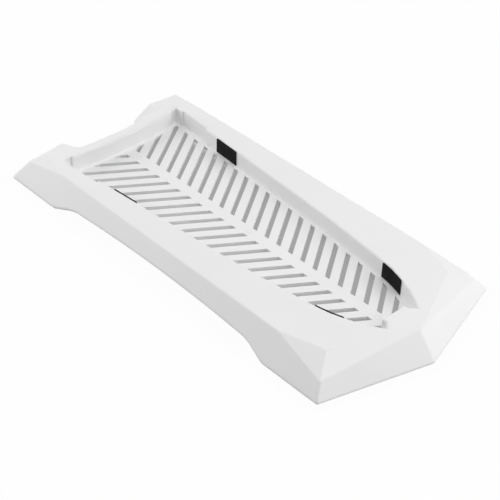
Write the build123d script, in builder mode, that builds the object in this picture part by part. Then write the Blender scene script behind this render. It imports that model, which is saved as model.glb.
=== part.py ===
"""Console vertical stand: a faceted plastic moulding with a vented console recess, grip pads and feet.

Millimetres, +Z up. The origin is on the table, under the middle of the stand. The nose points to -Y
and the two legs to +Y. The stand is its own mirror image in the plane X = 0.
"""

from build123d import *
from math import ceil, cos, radians, tan
import os

# Outer form: a low block with leaning faces, a V-shaped nose and cut corners
body_length = 280.0
base_width = 134.2
top_width = 109.0
body_height = 16.2
nose_lead = 19.6
front_lean = 12.7
rear_lean = 10.3
edge_radius = 1.2

# Corner facets, measured from the corner that they cut off
front_cut_length = 32.6
front_cut_inset = 8.0
front_cut_back = 5.2
front_cut_height = 9.2
rear_cut_length = 26.7
rear_cut_inset = 4.9
rear_cut_back = 3.3
rear_cut_height = 12.3

# Moulding: one wall throughout, open underneath
wall = 2.2
floor_thickness = 2.2
recess_depth = 10.4

# Rear notch between the legs, for cables
notch_mouth = 67.4
notch_root = 61.0
notch_depth = 12.0
notch_lean = 30.0
notch_bow = 280.0
notch_radius = 6.0

# Raised arch under each long side, measured from the nose and from the rear
arch_front_margin = 60.5
arch_rear_margin = 42.5
arch_ramp = 15.0
arch_shoulder = 4.4
arch_rise = 6.1
shoulder_radius = 35.0
toe_radius = 12.0

# Console recess, in plan
recess_rear_margin = 28.9
recess_side_margin = 11.2
recess_tip_margin = 25.0
recess_rear_bow = 280.0
recess_bend_width = 69.7
recess_bend_length = 77.0
recess_waist_width = 53.2
recess_tip_width = 23.6
recess_tip_length = 38.0
stop_width = 17.2
stop_length = 6.1
stop_shoulder = 3.0
rim_radius = 1.3
corner_relief_margin = 10.7
corner_relief_width = 5.4
corner_relief_depth = 4.4
bay_depth = 1.7
bay_length = 24.7
bay_margin = 1.9

# Herringbone vents in the recess floor
vent_pitch = 9.6
vent_width = 2.9
vent_angle = 34.2
vent_rear_margin = 8.7
vent_margin = 2.4
spine_width = 7.0

# Rubber grip pads on the recess walls
pad_thickness = 0.5
pad_lift = 0.4
pad_drop = 0.2
pad_corner = 1.0
rear_pad_margin = 38.9
rear_pad_length = 19.1
front_pad_margin = 0.6
front_pad_length = 17.2

# Rubber feet in bosses under the corners
foot_diameter = 11.0
foot_proud = 0.8
foot_seat = 1.0
foot_clearance = 0.1
boss_diameter = 15.0
front_foot_side_margin = 23.1
front_foot_nose_margin = 39.0
rear_foot_side_margin = 18.1
rear_foot_rear_margin = 17.5

# Heights above the table
base_z = foot_proud
top_z = base_z + body_height
floor_z = top_z - recess_depth
pad_z = floor_z + pad_lift
pad_height = recess_depth - pad_lift - pad_drop
under_z = floor_z - floor_thickness

# Corners of the block before its facets are cut
base_x = base_width / 2
top_x = top_width / 2
sweep = nose_lead / base_x
nose_base = Vector(0, -body_length / 2, base_z)
nose_top = Vector(0, -body_length / 2 + front_lean, top_z)
front_base = Vector(base_x, nose_base.Y + sweep * base_x, base_z)
front_top = Vector(top_x, nose_top.Y + sweep * top_x, top_z)
rear_base = Vector(base_x, body_length / 2, base_z)
rear_top = Vector(top_x, body_length / 2 - rear_lean, top_z)

# Points of the facets, on the +X side
front_side_cut = front_top + Vector(0, front_cut_length, 0)
front_inner_cut = front_top + Vector(-front_cut_inset, front_cut_back, 0)
front_edge_cut = front_base + (front_top - front_base) * (front_cut_height / body_height)
rear_side_cut = rear_top - Vector(0, rear_cut_length, 0)
rear_inner_cut = rear_top - Vector(rear_cut_inset, rear_cut_back, 0)
rear_edge_cut = rear_base + (rear_top - rear_base) * (rear_cut_height / body_height)
notch_corner = Vector(notch_mouth / 2, rear_top.Y, top_z)


def face_plane(first, second, third):
    """Return the plane of a face through three points, facing away from the middle of the stand."""
    normal = (second - first).cross(third - first)
    if normal.dot(first - Vector(0, 0, base_z)) < 0:
        normal = normal * -1
    return Plane(origin=first, x_dir=second - first, z_dir=normal)


def mirrored(point):
    """Return a point's mirror image in the plane X = 0."""
    return Vector(-point.X, point.Y, point.Z)


half_faces = [
    (front_base, rear_base, front_top),
    (nose_base, front_base, nose_top),
    (front_side_cut, front_inner_cut, front_edge_cut),
    (front_inner_cut, front_edge_cut, nose_top),
    (rear_side_cut, rear_inner_cut, rear_edge_cut),
    (rear_inner_cut, rear_edge_cut, notch_corner),
]
outer_faces = [face_plane(nose_top, rear_top, mirrored(rear_top))]
outer_faces += [face_plane(rear_base, rear_top, mirrored(rear_base))]
for corners in half_faces:
    outer_faces.append(face_plane(*corners))
    outer_faces.append(face_plane(*[mirrored(corner) for corner in corners]))

# Plan of the notch at the top face, and of its wall
notch_y = rear_top.Y - notch_depth
root_corner = Vector(notch_root / 2, notch_y + notch_root**2 / (8 * notch_bow), top_z)
notch_end = root_corner + (notch_corner - root_corner) * body_height
with BuildSketch(Plane.XY.offset(top_z)) as notch_plan:
    with BuildLine():
        root = ThreePointArc((-root_corner.X, root_corner.Y), (0, notch_y), (root_corner.X, root_corner.Y))
        Polyline(root @ 1, (notch_end.X, notch_end.Y), (-notch_end.X, notch_end.Y), root @ 0)
    make_face()
    fillet(notch_plan.vertices().group_by(Axis.Y)[0], radius=notch_radius)
with BuildSketch(Plane.XY.offset(top_z)) as notch_wall_plan:
    add(notch_plan.sketch)
    offset(amount=wall, kind=Kind.INTERSECTION)

# Plan of the recess without its reliefs
recess_rear = body_length / 2 - recess_rear_margin
recess_tip = body_length / 2 - recess_tip_margin
recess_waist = recess_tip - recess_tip_length
waist_x = recess_waist_width / 2
bend_x = recess_bend_width / 2
bend_y = recess_bend_length - recess_waist
tip_x = recess_tip_width / 2
corner_x = top_x - recess_side_margin
corner_y = recess_rear + corner_x**2 / (2 * recess_rear_bow)
with BuildSketch(Plane.XY.offset(floor_z)) as console_plan:
    with BuildLine():
        ThreePointArc((-corner_x, corner_y), (0, recess_rear), (corner_x, corner_y))
        for side in (-1, 1):
            flank = Line((side * corner_x, corner_y), (side * bend_x, bend_y))
            bend = TangentArc(flank @ 1, (side * waist_x, -recess_waist), tangent=flank % 1)
            TangentArc(bend @ 1, (side * tip_x, -recess_tip), tangent=bend % 1)
        Line((-tip_x, -recess_tip), (tip_x, -recess_tip))
    make_face()

# Plan of the recess with the wall bays, corner reliefs and the stop at its tip
flank_slope = (corner_x - bend_x) / (corner_y - bend_y)
bay_rear = recess_rear - bay_margin
bay_front = bay_rear - bay_length
stop_x = stop_width / 2
stop_face = recess_tip - stop_length
stop_side = recess_tip - stop_shoulder
with BuildSketch(Plane.XY.offset(floor_z)) as recess_plan:
    add(console_plan.sketch)
    for side in (-1, 1):
        relief_x = side * (top_x - corner_relief_margin - corner_relief_width / 2)
        with Locations((relief_x, recess_rear)):
            Rectangle(corner_relief_width, 2 * corner_relief_depth)
        bay_x = [corner_x + flank_slope * (y - corner_y) for y in (bay_front, bay_rear)]
        with BuildLine():
            Polyline(
                (side * (bay_x[0] - wall), bay_front),
                (side * (bay_x[0] + bay_depth), bay_front),
                (side * (bay_x[1] + bay_depth), bay_rear),
                (side * (bay_x[1] - wall), bay_rear),
                close=True,
            )
        make_face()
    with BuildLine():
        Polyline(
            (-stop_x, -stop_face),
            (stop_x, -stop_face),
            (stop_x, -stop_side),
            (tip_x, -recess_tip),
            (tip_x, -body_length / 2),
            (-tip_x, -body_length / 2),
            (-tip_x, -recess_tip),
            (-stop_x, -stop_side),
            close=True,
        )
    make_face(mode=Mode.SUBTRACT)
with BuildSketch(Plane.XY.offset(under_z)) as tub_plan:
    add(console_plan.sketch.moved(Location((0, 0, under_z - floor_z))))
    offset(amount=wall + bay_depth, kind=Kind.INTERSECTION)

# Hollow under the skin, with a solid boss left standing for each foot
front_foot_x = base_x - front_foot_side_margin
front_foot_y = front_foot_nose_margin - body_length / 2
rear_foot_x = base_x - rear_foot_side_margin
rear_foot_y = body_length / 2 - rear_foot_rear_margin
foot_places = [(side * front_foot_x, front_foot_y, base_z) for side in (-1, 1)]
foot_places += [(side * rear_foot_x, rear_foot_y, base_z) for side in (-1, 1)]
with BuildPart() as cavity:
    Box(base_width, body_length, body_height * 2)
    for face in outer_faces:
        split(bisect_by=face.offset(-wall), keep=Keep.BOTTOM)
    extrude(notch_wall_plan.sketch, amount=-body_height * 2, taper=notch_lean, mode=Mode.SUBTRACT)
    with Locations(*foot_places):
        Cylinder(boss_diameter / 2, body_height * 2, mode=Mode.SUBTRACT)

# Side view of the arches, cut through both long sides
arch_front = body_length / 2 - arch_front_margin
arch_rear = body_length / 2 - arch_rear_margin
arch_middle = (arch_rear - arch_front) / 2
shoulder_z = base_z + arch_shoulder
with BuildSketch(Plane.YZ) as arch_plan:
    with BuildLine():
        front_shoulder = (-arch_front + arch_ramp, shoulder_z)
        rear_shoulder = (arch_rear - arch_ramp, shoulder_z)
        ThreePointArc(front_shoulder, (arch_middle, base_z + arch_rise), rear_shoulder)
        Polyline(
            rear_shoulder,
            (arch_rear, base_z),
            (arch_rear + arch_ramp, base_z),
            (arch_rear + arch_ramp, base_z - arch_rise),
            (-arch_front - arch_ramp, base_z - arch_rise),
            (-arch_front - arch_ramp, base_z),
            (-arch_front, base_z),
            front_shoulder,
        )
    make_face()
    fillet(arch_plan.vertices().group_by(Axis.Y)[-1], radius=shoulder_radius)
    feet = arch_plan.vertices().group_by(Axis.Y)[1].sort_by(Axis.X)[1:-1]
    fillet(feet, radius=toe_radius)

# Plan of the vents: rows of chevrons, broken by the spine and kept clear of the recess walls
vent_first = recess_rear - vent_rear_margin
vent_count = ceil((vent_first + recess_tip) / vent_pitch)
vent_rise = corner_x * tan(radians(vent_angle))
vent_span = vent_width / cos(radians(vent_angle))
with BuildSketch() as chevron:
    with BuildLine():
        Polyline(
            (0, -vent_span / 2),
            (corner_x, vent_rise - vent_span / 2),
            (corner_x, vent_rise + vent_span / 2),
            (0, vent_span / 2),
            (-corner_x, vent_rise + vent_span / 2),
            (-corner_x, vent_rise - vent_span / 2),
            close=True,
        )
    make_face()
with BuildSketch() as vent_field:
    add(console_plan.sketch.moved(Location((0, 0, -floor_z))))
    offset(amount=-vent_margin, kind=Kind.INTERSECTION)
    Rectangle(spine_width, body_length, mode=Mode.SUBTRACT)
    with Locations((0, -stop_face + vent_margin)):
        Rectangle(base_width, body_length, align=(Align.CENTER, Align.MAX), mode=Mode.SUBTRACT)
with BuildSketch(Plane.XY.offset(floor_z)) as vent_plan:
    with Locations(*[(0, vent_first - row * vent_pitch) for row in range(vent_count)]):
        add(chevron.sketch)
    add(vent_field.sketch, mode=Mode.INTERSECT)

# The moulded body
with BuildPart() as stand_body:
    with Locations((0, 0, base_z)):
        Box(base_width * 2, body_length * 2, body_height * 2, align=(Align.CENTER, Align.CENTER, Align.MIN))
    for face in outer_faces:
        split(bisect_by=face, keep=Keep.BOTTOM)
    extrude(notch_plan.sketch, amount=-body_height, taper=notch_lean, mode=Mode.SUBTRACT)
    extrude(arch_plan.sketch, amount=base_width, both=True, mode=Mode.SUBTRACT)
    arch_lines = stand_body.edges().filter_by(Axis.X).filter_by(lambda edge: edge.length > top_x)
    fillet(stand_body.edges() - arch_lines, radius=edge_radius)
    add(cavity.part, mode=Mode.SUBTRACT)
    extrude(tub_plan.sketch, amount=top_z - wall / 2 - under_z)
    extrude(recess_plan.sketch, amount=recess_depth * 2, mode=Mode.SUBTRACT)
    top_face = stand_body.faces().filter_by(Plane.XY).sort_by(Axis.Z)[-1]
    fillet(top_face.inner_wires()[0].edges(), radius=rim_radius)
    extrude(vent_plan.sketch, amount=-floor_thickness, mode=Mode.SUBTRACT)
    with Locations(*foot_places):
        Cylinder(foot_diameter / 2 + foot_clearance, foot_seat * 2, mode=Mode.SUBTRACT)

# Grip pads: strips of rubber that follow the recess wall
with BuildSketch(Plane.XY.offset(pad_z)) as pad_band:
    add(console_plan.sketch.moved(Location((0, 0, pad_lift))))
    offset(amount=-pad_thickness, kind=Kind.INTERSECTION, mode=Mode.SUBTRACT)
with BuildPart() as rear_pad_right:
    with BuildSketch(Plane.XY.offset(pad_z)):
        add(pad_band.sketch)
        with Locations((0, recess_rear - rear_pad_margin)):
            Rectangle(base_width, rear_pad_length, align=(Align.MIN, Align.MAX), mode=Mode.INTERSECT)
    extrude(amount=pad_height)
    fillet(rear_pad_right.edges().group_by(Axis.Z)[-1].filter_by(Axis.X), radius=pad_corner)
with BuildPart() as rear_pad_left:
    mirror(rear_pad_right.part, about=Plane.YZ)
with BuildPart() as front_pad_right:
    with BuildSketch(Plane.XY.offset(pad_z)):
        add(pad_band.sketch)
        with Locations((0, -recess_waist - front_pad_margin)):
            Rectangle(base_width, front_pad_length, align=(Align.MIN, Align.MAX), mode=Mode.INTERSECT)
    extrude(amount=pad_height)
    fillet(front_pad_right.edges().group_by(Axis.Z)[-1].filter_by(Axis.X), radius=pad_corner)
with BuildPart() as front_pad_left:
    mirror(front_pad_right.part, about=Plane.YZ)

# Feet: rubber buttons pressed into the seats under the bosses
foot_top = base_z + foot_seat
foot_align = (Align.CENTER, Align.CENTER, Align.MAX)
with BuildPart() as front_foot_right:
    with Locations((front_foot_x, front_foot_y, foot_top)):
        Cylinder(foot_diameter / 2, foot_top, align=foot_align)
with BuildPart() as front_foot_left:
    mirror(front_foot_right.part, about=Plane.YZ)
with BuildPart() as rear_foot_right:
    with Locations((rear_foot_x, rear_foot_y, foot_top)):
        Cylinder(foot_diameter / 2, foot_top, align=foot_align)
with BuildPart() as rear_foot_left:
    mirror(rear_foot_right.part, about=Plane.YZ)

# Names and export
stand_body.part.label = "stand_body"
rear_pad_right.part.label = "rear_pad_right"
rear_pad_left.part.label = "rear_pad_left"
front_pad_right.part.label = "front_pad_right"
front_pad_left.part.label = "front_pad_left"
front_foot_right.part.label = "front_foot_right"
front_foot_left.part.label = "front_foot_left"
rear_foot_right.part.label = "rear_foot_right"
rear_foot_left.part.label = "rear_foot_left"
os.makedirs("parts", exist_ok=True)
export_step(stand_body.part, "parts/stand_body.step")
export_step(rear_pad_right.part, "parts/rear_pad_right.step")
export_step(rear_pad_left.part, "parts/rear_pad_left.step")
export_step(front_pad_right.part, "parts/front_pad_right.step")
export_step(front_pad_left.part, "parts/front_pad_left.step")
export_step(front_foot_right.part, "parts/front_foot_right.step")
export_step(front_foot_left.part, "parts/front_foot_left.step")
export_step(rear_foot_right.part, "parts/rear_foot_right.step")
export_step(rear_foot_left.part, "parts/rear_foot_left.step")
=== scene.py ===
from math import radians

import bpy
from mathutils import Matrix, Vector


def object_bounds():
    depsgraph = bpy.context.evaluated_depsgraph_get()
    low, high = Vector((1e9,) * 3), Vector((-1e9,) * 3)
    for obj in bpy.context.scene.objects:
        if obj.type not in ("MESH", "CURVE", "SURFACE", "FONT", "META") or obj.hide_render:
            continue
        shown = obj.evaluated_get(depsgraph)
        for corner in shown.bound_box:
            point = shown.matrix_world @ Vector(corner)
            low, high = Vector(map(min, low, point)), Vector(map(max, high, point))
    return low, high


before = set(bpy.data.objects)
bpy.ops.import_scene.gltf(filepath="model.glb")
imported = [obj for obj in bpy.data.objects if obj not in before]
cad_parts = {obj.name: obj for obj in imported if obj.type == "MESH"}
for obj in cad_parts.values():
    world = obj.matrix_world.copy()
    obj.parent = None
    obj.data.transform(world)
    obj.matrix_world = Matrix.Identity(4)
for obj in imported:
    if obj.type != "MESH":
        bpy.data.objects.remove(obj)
cad_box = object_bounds()

# The stand's body is one injection moulding in white ABS: a low faceted shell with a tapered,
# slotted well for the console. The tool leaves a satin grain, a faint flow of the melt and three
# ring marks of its pins along the spine, and handling rubs the edges smoother. The ring grooves
# are painted a little darker in the colour, as painted shade.
well_side = 0.0485
well_end = 0.119
well_margin = (-0.001, 0.003)
slot_edge = 0.00025
outer_edge = 0.0014
edge_samples = 6
white_tints = (0.885, 0.905)
satin_roughness = (0.34, 0.46)
rubbed_turn = (0.8, 0.98)
rubbed_polish = -0.12
grain_depth = 0.00004
pin_pitch = 0.099
pin_radius = 0.0016
pin_groove = 0.0004
pin_depth = 0.00012
pin_ring_painted_shade = 0.88
plastic_ior = 1.5
noise_span = (0.3, 0.7)
node_step = 200


def shade_with(owner, kind, **settings):
    nodes = owner.node_tree.nodes
    node = nodes.new("ShaderNode" + kind)
    node.location.x = node_step * len(nodes)
    for name, value in settings.items():
        if name in node.inputs:
            node.inputs[name].default_value = value
        else:
            setattr(node, name, value)
    return node


def reckon(owner, operation, *terms):
    node = shade_with(owner, "Math", operation=operation)
    for term, entry in zip(terms, node.inputs):
        if isinstance(term, float):
            entry.default_value = term
        else:
            owner.node_tree.links.new(term, entry)
    return node.outputs[0]


def rise_between(owner, driver, start, end, low=0.0, high=1.0, kind="LINEAR"):
    ramp = shade_with(owner, "MapRange", interpolation_type=kind)
    for name, value in (("From Min", start), ("From Max", end), ("To Min", low), ("To Max", high)):
        ramp.inputs[name].default_value = value
    owner.node_tree.links.new(driver, ramp.inputs["Value"])
    return ramp.outputs["Result"]


def ease_between(owner, driver, start, end, low=0.0, high=1.0):
    return rise_between(owner, driver, start, end, low, high, "SMOOTHSTEP")


def noise_in(owner, spot, **settings):
    noise = shade_with(owner, "TexNoise", **settings)
    owner.node_tree.links.new(spot, noise.inputs["Vector"])
    return noise.outputs["Fac"]


def relief_of(owner, height, **settings):
    relief = shade_with(owner, "Bump", **settings)
    owner.node_tree.links.new(height, relief.inputs["Height"])
    return relief


def fresh_material(name):
    mat = bpy.data.materials.new(name)
    mat.use_nodes = True
    spot = shade_with(mat, "TexCoord").outputs["Object"]
    return mat, mat.node_tree.nodes["Principled BSDF"], spot, mat.node_tree.links.new


def sides_of(owner, spot):
    sides = shade_with(owner, "SeparateXYZ")
    owner.node_tree.links.new(spot, sides.inputs[0])
    return sides.outputs["X"], sides.outputs["Y"]


def edge_radius(mat, across, along):
    past_side = reckon(mat, "SUBTRACT", reckon(mat, "ABSOLUTE", across), well_side)
    past_end = reckon(mat, "SUBTRACT", reckon(mat, "ABSOLUTE", along), well_end)
    past_well = reckon(mat, "MAXIMUM", past_side, past_end)
    return ease_between(mat, past_well, *well_margin, slot_edge, outer_edge)


def off_pin_ring(mat, across, along, link):
    from_pin = shade_with(mat, "CombineXYZ")
    link(across, from_pin.inputs["X"])
    link(reckon(mat, "WRAP", along, pin_pitch / 2, -pin_pitch / 2), from_pin.inputs["Y"])
    reach = shade_with(mat, "VectorMath", operation="LENGTH")
    link(from_pin.outputs[0], reach.inputs[0])
    from_ring = reckon(mat, "SUBTRACT", reach.outputs["Value"], pin_radius)
    return ease_between(mat, reckon(mat, "ABSOLUTE", from_ring), 0.0, pin_groove)


def moulded_white():
    mat, surface, spot, link = fresh_material("white_moulded_plastic")
    across, along = sides_of(mat, spot)
    ring = off_pin_ring(mat, across, along, link)
    flow = noise_in(mat, spot, Scale=22.0, Detail=3.0)
    tint = rise_between(mat, flow, *noise_span, *white_tints)
    # Painted shade: the base colour is darker along the pin ring grooves.
    ring_shade_paint = rise_between(mat, ring, 0.0, 1.0, pin_ring_painted_shade, 1.0)
    link(reckon(mat, "MULTIPLY", tint, ring_shade_paint), surface.inputs["Base Color"])

    rounded = shade_with(mat, "Bevel", samples=edge_samples)
    link(edge_radius(mat, across, along), rounded.inputs["Radius"])
    faced = shade_with(mat, "NewGeometry")
    turn = shade_with(mat, "VectorMath", operation="DOT_PRODUCT")
    link(rounded.outputs["Normal"], turn.inputs[0])
    link(faced.outputs["Normal"], turn.inputs[1])
    rubbed = ease_between(mat, turn.outputs["Value"], *rubbed_turn, rubbed_polish, 0.0)
    handling = noise_in(mat, spot, Scale=60.0, Detail=4.0, Roughness=0.6)
    satin = rise_between(mat, handling, *noise_span, *satin_roughness)
    link(reckon(mat, "ADD", satin, rubbed), surface.inputs["Roughness"])

    grain = noise_in(mat, spot, Scale=2600.0, Detail=2.0, Roughness=0.6)
    grained = relief_of(mat, grain, Strength=0.22, Distance=grain_depth)
    link(rounded.outputs["Normal"], grained.inputs["Normal"])
    marked = relief_of(mat, ring, Strength=0.7, Distance=pin_depth)
    link(grained.outputs["Normal"], marked.inputs["Normal"])
    link(marked.outputs["Normal"], surface.inputs["Normal"])
    surface.inputs["IOR"].default_value = plastic_ior
    return mat


def dress(name, finish):
    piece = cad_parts[name]
    piece.data.materials.clear()
    piece.data.materials.append(finish)
    return piece


dress("stand_body", moulded_white())

# Four grip pads line the well, two at the rear and two by the nose. Each is a thin strip of
# black rubber with softly rounded edges, glued to the wall to hold the console off the plastic.
pad_edge = 0.00012
joined_within = 0.000002
edge_steps = 3
sharp_from = radians(40)
rubber_tints = (0.011, 0.018)
rubber_roughness = (0.62, 0.82)
rubber_gloss = 0.06
pore_depth = 0.00005


def tint_between(owner, driver, tints):
    ramp = shade_with(owner, "ValToRGB")
    for stop, position, grey in zip(ramp.color_ramp.elements, noise_span, tints):
        stop.position = position
        stop.color = (grey, grey, grey, 1)
    owner.node_tree.links.new(driver, ramp.inputs["Fac"])
    return ramp.outputs["Color"]


def black_rubber():
    mat, surface, spot, link = fresh_material("black_soft_rubber")
    dust = noise_in(mat, spot, Scale=320.0, Detail=5.0, Roughness=0.65)
    link(tint_between(mat, dust, rubber_tints), surface.inputs["Base Color"])
    rub = noise_in(mat, spot, Scale=140.0, Detail=3.0)
    link(rise_between(mat, rub, *noise_span, *rubber_roughness), surface.inputs["Roughness"])
    pores = noise_in(mat, spot, Scale=3800.0, Detail=3.0, Roughness=0.7)
    pitted = relief_of(mat, pores, Strength=0.45, Distance=pore_depth)
    link(pitted.outputs["Normal"], surface.inputs["Normal"])
    surface.inputs["Specular IOR Level"].default_value = rubber_gloss
    return mat


def soften_edges(piece, width):
    weld = piece.modifiers.new("joined", "WELD")
    weld.merge_threshold = joined_within
    soft = piece.modifiers.new("soft_edge", "BEVEL")
    soft.width = width
    soft.segments = edge_steps
    soft.limit_method = "ANGLE"
    soft.angle_limit = sharp_from


rubber = black_rubber()
for name in ("rear_pad_right", "rear_pad_left", "front_pad_right", "front_pad_left"):
    soften_edges(dress(name, rubber), pad_edge)

# Four round feet of the same black rubber sit in moulded seats under the body. They are stuck
# in, stand just proud of the base rim, and carry the stand on the table.
foot_edge = 0.0003
for name in ("front_foot_right", "front_foot_left", "rear_foot_right", "rear_foot_left"):
    soften_edges(dress(name, rubber), foot_edge)

# The stand is shown on a plain white table in a bright room, and the table runs on to a white
# backdrop. The table keeps the stand's soft shadow. Where the stand covers it, away from the side
# arches, it is shown in a painted shade of dim grey. A narrow band along the base is painted darker
# as contact shade, which also dims the light the table throws back on the base. Sizes past the
# base are negative under the stand.
half_floor = 4.0
base_side = cad_box[1].x
base_rear = cad_box[1].y
base_nose = -cad_box[0].y
nose_sweep = 0.292
notch_side = 0.0245
notch_root = 0.1265
arch_middle = 0.009
arch_reach = 0.093
arch_fade = 0.006
arch_opening = (0.038, 0.050)
base_fade = (-0.003, -0.001)
painted_shade_grey = 0.37
covered_share = 0.85
open_share = 0.97
table_grey = 0.8
painted_contact_shade_grey = 0.45
band_start = (-0.016, -0.0064)
band_end = (0.00192, 0.00704)
room_light = 0.213


def past_base_edge(mat, across, along):
    past_side = reckon(mat, "SUBTRACT", across, base_side)
    past_rear = reckon(mat, "SUBTRACT", along, base_rear)
    swept_back = reckon(mat, "MULTIPLY", across, nose_sweep)
    ahead = reckon(mat, "SUBTRACT", swept_back, along)
    past_nose = reckon(mat, "SUBTRACT", ahead, base_nose)
    inside_notch = reckon(mat, "SUBTRACT", notch_side, across)
    past_root = reckon(mat, "SUBTRACT", along, notch_root)
    past = reckon(mat, "MINIMUM", inside_notch, past_root)
    for edge in (past_side, past_rear, past_nose):
        past = reckon(mat, "MAXIMUM", past, edge)
    return past


def under_arch(mat, across, along):
    off_middle = reckon(mat, "ABSOLUTE", reckon(mat, "SUBTRACT", along, arch_middle))
    in_arch = ease_between(mat, off_middle, arch_reach - arch_fade, arch_reach, 1.0, 0.0)
    return reckon(mat, "MULTIPLY", in_arch, ease_between(mat, across, *arch_opening))


def seen_directly(owner):
    path = shade_with(owner, "LightPath")
    seen = path.outputs["Is Camera Ray"]
    for ray in ("Is Glossy Ray", "Is Transmission Ray"):
        seen = reckon(owner, "MAXIMUM", seen, path.outputs[ray])
    return seen


def show_instead(owner, share, lit, shown):
    link = owner.node_tree.links.new
    either = shade_with(owner, "MixShader")
    link(share, either.inputs["Fac"])
    link(lit.outputs[0], either.inputs[1])
    link(shown.outputs[0], either.inputs[2])
    return either.outputs[0]


def white_table():
    mat, plain_surface, spot, link = fresh_material("white_table")
    mat.node_tree.nodes.remove(plain_surface)
    sideways, along = sides_of(mat, spot)
    across = reckon(mat, "ABSOLUTE", sideways)
    past_base = past_base_edge(mat, across, along)
    clear_of_base = ease_between(mat, past_base, *base_fade)
    open_air = reckon(mat, "MAXIMUM", clear_of_base, under_arch(mat, across, along))

    # Painted contact shade: the table's colour is darker in a narrow band along the base.
    into_band = rise_between(mat, past_base, *band_start, table_grey, painted_contact_shade_grey)
    out_of_band = rise_between(mat, past_base, *band_end, painted_contact_shade_grey, table_grey)
    matt = shade_with(mat, "BsdfDiffuse")
    link(reckon(mat, "MAXIMUM", into_band, out_of_band), matt.inputs["Color"])
    glow = shade_with(mat, "Emission", Strength=1.0)
    # Painted shade: where the stand covers the table, the camera sees it dim grey.
    link(rise_between(mat, open_air, 0.0, 1.0, painted_shade_grey, 1.0), glow.inputs["Color"])

    share = rise_between(mat, open_air, 0.0, 1.0, covered_share, open_share)
    brightened = reckon(mat, "MULTIPLY", seen_directly(mat), share)
    finish = mat.node_tree.nodes["Material Output"]
    link(show_instead(mat, brightened, matt, glow), finish.inputs["Surface"])
    return mat


corners = ((-1, -1), (1, -1), (1, 1), (-1, 1))
floor_mesh = bpy.data.meshes.new("white_floor")
floor_mesh.from_pydata([(half_floor * x, half_floor * y, 0) for x, y in corners], [], [(0, 1, 2, 3)])
floor_mesh.materials.append(white_table())
floor = bpy.data.objects.new("white_floor", floor_mesh)
bpy.context.scene.collection.objects.link(floor)

room = bpy.data.worlds.new("bright_room")
bpy.context.scene.world = room
room.use_nodes = True
ambient = room.node_tree.nodes["Background"]
ambient.inputs["Color"].default_value = (1, 1, 1, 1)
ambient.inputs["Strength"].default_value = room_light
backdrop = shade_with(room, "Background", Color=(1, 1, 1, 1), Strength=1.0)
surroundings = show_instead(room, seen_directly(room), ambient, backdrop)
room.node_tree.links.new(surroundings, room.node_tree.nodes["World Output"].inputs["Surface"])

# Three large soft lamps light it: one low to the right of the nose, one high over the nose and one
# low behind the left side. The low ones stay out of the gloss, which they would turn white at a
# grazing angle. White plastic hands light on many times, so the rays get more bounces.
all_bounces = 16
matt_bounces = 12


def soft_lamp(name, place, size, power, in_gloss):
    lamp = bpy.data.lights.new(name, "AREA")
    lamp.shape = "DISK"
    lamp.size = size
    lamp.energy = power
    holder = bpy.data.objects.new(name, lamp)
    holder.location = place
    holder.rotation_euler = Vector(place).to_track_quat("Z", "Y").to_euler()
    holder.visible_glossy = in_gloss
    bpy.context.scene.collection.objects.link(holder)


soft_lamp("right_lamp", place=(0.62, -0.75, 0.55), size=0.8, power=5.45, in_gloss=False)
soft_lamp("high_lamp", place=(0.0, -0.45, 1.3), size=1.2, power=6.8, in_gloss=True)
soft_lamp("rear_lamp", place=(-0.403, 0.864, 0.508), size=0.85, power=5.75, in_gloss=False)
bpy.context.scene.cycles.max_bounces = all_bounces
bpy.context.scene.cycles.diffuse_bounces = matt_bounces

# The camera stands where the photograph was taken from. It looks down from the front left, a
# little rolled, through a long lens, and shows colours as they are written.
camera_place = (-0.398976, -0.417792, 0.449848)
camera_heading = radians(-43.75)
camera_tilt = radians(90 - 38.33)
camera_roll = radians(1.294)
camera = bpy.data.cameras.new("camera")
camera.lens = 92.24
camera.sensor_width = 36.0
viewer = bpy.data.objects.new("camera", camera)
bpy.context.scene.collection.objects.link(viewer)
viewer.matrix_world = (
    Matrix.Translation(camera_place)
    @ Matrix.Rotation(camera_heading, 4, "Z")
    @ Matrix.Rotation(camera_tilt, 4, "X")
    @ Matrix.Rotation(camera_roll, 4, "Z"))
bpy.context.scene.camera = viewer
bpy.context.scene.view_settings.view_transform = "Standard"
